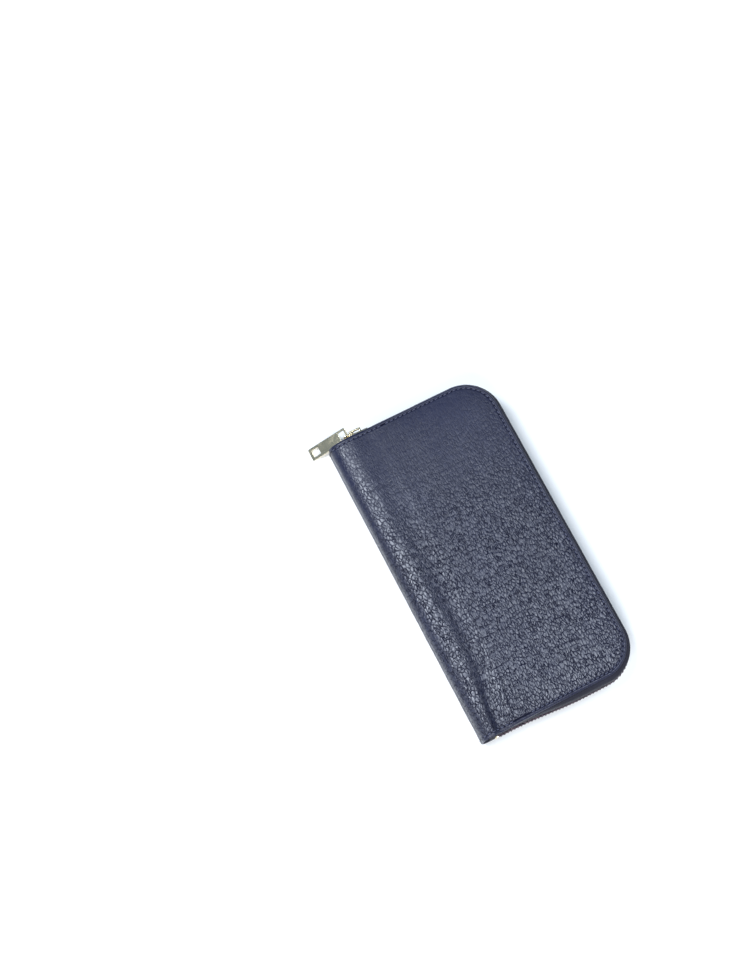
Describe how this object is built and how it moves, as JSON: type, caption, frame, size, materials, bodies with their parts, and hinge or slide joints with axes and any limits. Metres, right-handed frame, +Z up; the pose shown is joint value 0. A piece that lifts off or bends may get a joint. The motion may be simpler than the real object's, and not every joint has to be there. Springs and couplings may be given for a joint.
{
  "type": "zip around wallet",
  "caption": "Long navy leather wallet with a rolled spine and a metal zip round three sides, card pockets inside and a zipped coin pocket in the middle",
  "frame": {"origin": "the centre of the flat back face that the wallet lies on", "axes": "+X from the spine to the zip edge, +Y along the spine to the end where the slider stops, +Z up out of the front cover"},
  "size_m": [0.1125, 0.2056, 0.024],
  "materials": {
    "outer_leather": "navy pebbled cowhide, satin, with a turned and stitched edge",
    "inner_leather": "navy fine-grained leather, satin",
    "lining": "dark grey-navy woven lining",
    "board": "grey-brown bonded stiffener board",
    "thread": "navy twisted sewing thread",
    "zip_tape": "navy herringbone zip tape",
    "zip_metal": "pale gold plated brass, lightly polished",
    "gold_metal": "pale gold plate, mirror polished"
  },
  "bodies": {
    "back": {"back_board": "board", "back_card_pocket_lower_1": "inner_leather", "back_card_pocket_lower_2": "inner_leather", "back_card_pocket_lower_3": "inner_leather", "back_card_pocket_upper_1": "inner_leather", "back_card_pocket_upper_2": "inner_leather", "back_card_pocket_upper_3": "inner_leather", "back_gusset_bottom": "inner_leather", "back_gusset_top": "inner_leather", "back_leather": "outer_leather", "back_lining": "lining", "back_slip_panel": "inner_leather", "back_stitching": "thread", "back_zip_tape": "zip_tape", "back_zip_teeth": "zip_metal"},
    "middle": {"back_top_stop": "zip_metal", "front_top_stop": "zip_metal", "zip_bottom_stop": "zip_metal", "spine_lining": "lining", "coin_back_lining": "lining", "coin_back_panel": "inner_leather", "coin_back_tape": "zip_tape", "coin_back_teeth": "zip_metal", "coin_back_top_stop": "zip_metal", "coin_bottom_stop": "zip_metal", "coin_front_lining": "lining", "coin_front_panel": "inner_leather", "coin_front_tape": "zip_tape", "coin_front_teeth": "zip_metal", "coin_front_top_stop": "zip_metal", "coin_side_wall": "inner_leather"},
    "front": {"front_board": "board", "front_card_pocket_lower_1": "inner_leather", "front_card_pocket_lower_2": "inner_leather", "front_card_pocket_lower_3": "inner_leather", "front_card_pocket_upper_1": "inner_leather", "front_card_pocket_upper_2": "inner_leather", "front_card_pocket_upper_3": "inner_leather", "front_gusset_bottom": "inner_leather", "front_gusset_top": "inner_leather", "front_leather": "outer_leather", "front_lining": "lining", "front_slip_panel": "inner_leather", "front_stitching": "thread", "front_zip_tape": "zip_tape", "front_zip_teeth": "zip_metal"},
    "main_slider": {"slider_body": "gold_metal", "slider_bail": "gold_metal"},
    "puller_link": {"puller_link": "gold_metal"},
    "puller_tab": {"puller_tab": "gold_metal"},
    "coin_slider": {"coin_slider_body": "gold_metal", "coin_bail": "gold_metal"},
    "coin_puller": {"coin_puller": "gold_metal"}
  },
  "joints": [
    {"name": "cover_open", "type": "hinge", "parent": "middle", "child": "front", "pos_m": [-0.051, 0, 0.012], "axis": [0, -1, 0], "range_deg": [0, 30], "deforming": ["front_zip_tape", "front_gusset_top", "front_gusset_bottom", "spine_lining"]},
    {"name": "divider_open", "type": "hinge", "parent": "back", "child": "middle", "pos_m": [-0.051, 0, 0.012], "axis": [0, -1, 0], "range_deg": [0, 30], "deforming": ["back_zip_tape", "back_gusset_top", "back_gusset_bottom"]},
    {"name": "slider_travel", "type": "slide", "parent": "middle", "child": "main_slider", "axis": [1, 0, 0], "range_m": [0, 0.05], "deforming": ["front_zip_teeth", "back_zip_teeth"]},
    {"name": "link_swing", "type": "hinge", "parent": "main_slider", "child": "puller_link", "pos_m": [-0.033, 0.1012, 0.012], "axis": [0, 0, -1], "range_deg": [0, 90]},
    {"name": "tab_lift", "type": "hinge", "parent": "puller_link", "child": "puller_tab", "pos_m": [-0.0365, 0.1031, 0.012], "axis": [0, 1, 0], "range_deg": [0, 115]},
    {"name": "coin_slider_travel", "type": "slide", "parent": "middle", "child": "coin_slider", "axis": [0, -1, 0], "range_m": [0, 0.157], "deforming": ["coin_front_teeth", "coin_back_teeth"]},
    {"name": "coin_puller_swing", "type": "hinge", "parent": "coin_slider", "child": "coin_puller", "pos_m": [0.0432, 0.0783, 0.012], "axis": [0, 0, 1], "range_deg": [0, 180]}
  ],
  "couplings": [
    {"joint": "divider_open", "follows": "cover_open", "ratio": 1}
  ]
}
